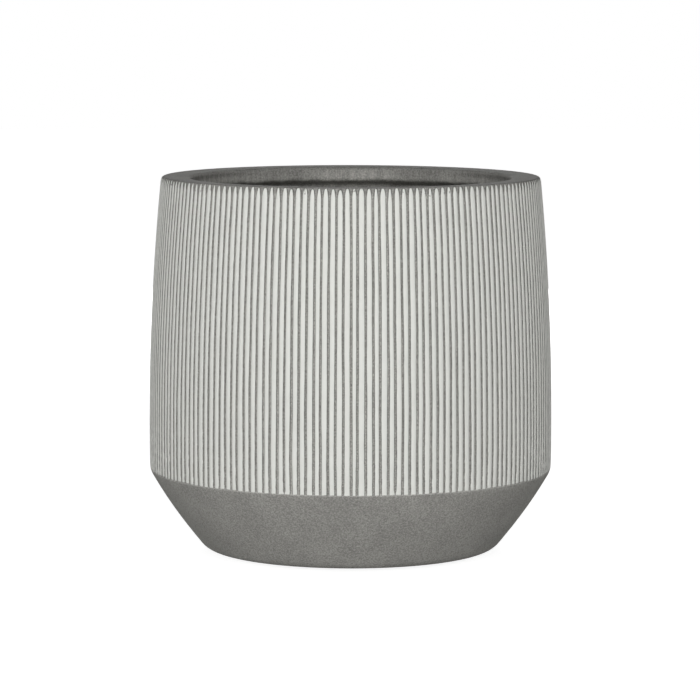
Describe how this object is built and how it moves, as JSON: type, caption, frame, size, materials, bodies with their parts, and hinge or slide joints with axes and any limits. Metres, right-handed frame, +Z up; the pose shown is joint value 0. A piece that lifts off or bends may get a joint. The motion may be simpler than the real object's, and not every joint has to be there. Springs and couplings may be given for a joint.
{
  "type": "flower pot",
  "caption": "Round planter with a barrel-shaped ribbed wall, a plain tapered foot, a thick rim turned inwards, and a drain hole closed by a lift-out stopper.",
  "frame": {"origin": "on the ground under the middle of the pot, at the undersides of the floor pads", "axes": "+Z up along the pot's axis, -Y towards the viewer of the picture, +X to the right"},
  "size_m": [0.2796, 0.2796, 0.261],
  "materials": {
    "fibre_cement": "matt grey fibre cement, rib crests brushed with white wash",
    "plug_rubber": "matt black moulded rubber",
    "pad_rubber": "matt black rubber"
  },
  "bodies": {
    "pot": {"pot_shell": "fibre_cement", "floor_pad_1": "pad_rubber", "floor_pad_2": "pad_rubber", "floor_pad_3": "pad_rubber", "floor_pad_4": "pad_rubber"},
    "plug": {"drain_plug": "plug_rubber"}
  },
  "joints": [
    {"name": "plug_lift", "type": "slide", "parent": "pot", "child": "plug", "axis": [0, 0, 1], "range_m": [0, 0.28]}
  ]
}
